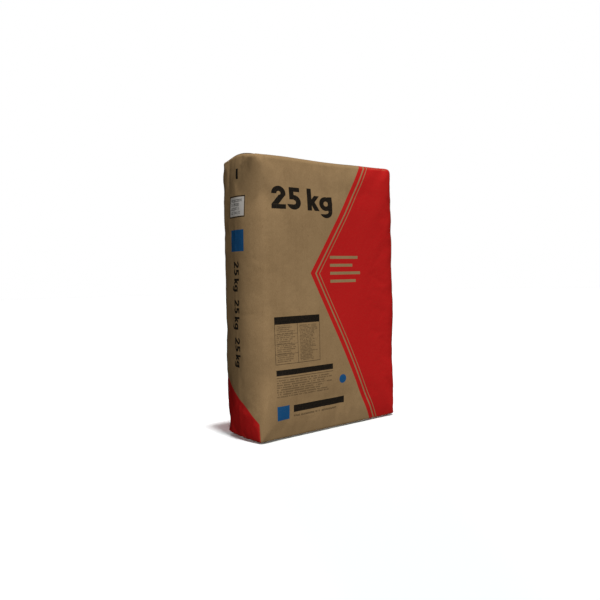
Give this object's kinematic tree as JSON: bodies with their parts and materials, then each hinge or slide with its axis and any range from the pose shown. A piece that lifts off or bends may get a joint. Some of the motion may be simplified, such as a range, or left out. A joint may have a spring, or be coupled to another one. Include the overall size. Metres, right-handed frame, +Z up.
{
  "type": "cement bag",
  "caption": "Filled paper sack of cement with square pasted ends and a valve at one upper corner, standing on its end.",
  "frame": {"origin": "middle of the sack's foot, on the floor it stands on", "axes": "+Z up the sack's length, -Y out of the broad printed front, +Y out of the back with the long seam, -X out of the narrow side under the valve"},
  "size_m": [0.3744, 0.131, 0.5476],
  "materials": {
    "printed_kraft": "matt brown kraft paper with printed areas",
    "end_patch_kraft": "matt brown kraft paper, unprinted",
    "valve_kraft": "matt light brown kraft paper, unprinted"
  },
  "bodies": {
    "root": {"filled_sack": "printed_kraft", "top_end_patch": "end_patch_kraft", "bottom_end_patch": "end_patch_kraft", "valve_sleeve": "valve_kraft"}
  },
  "joints": []
}
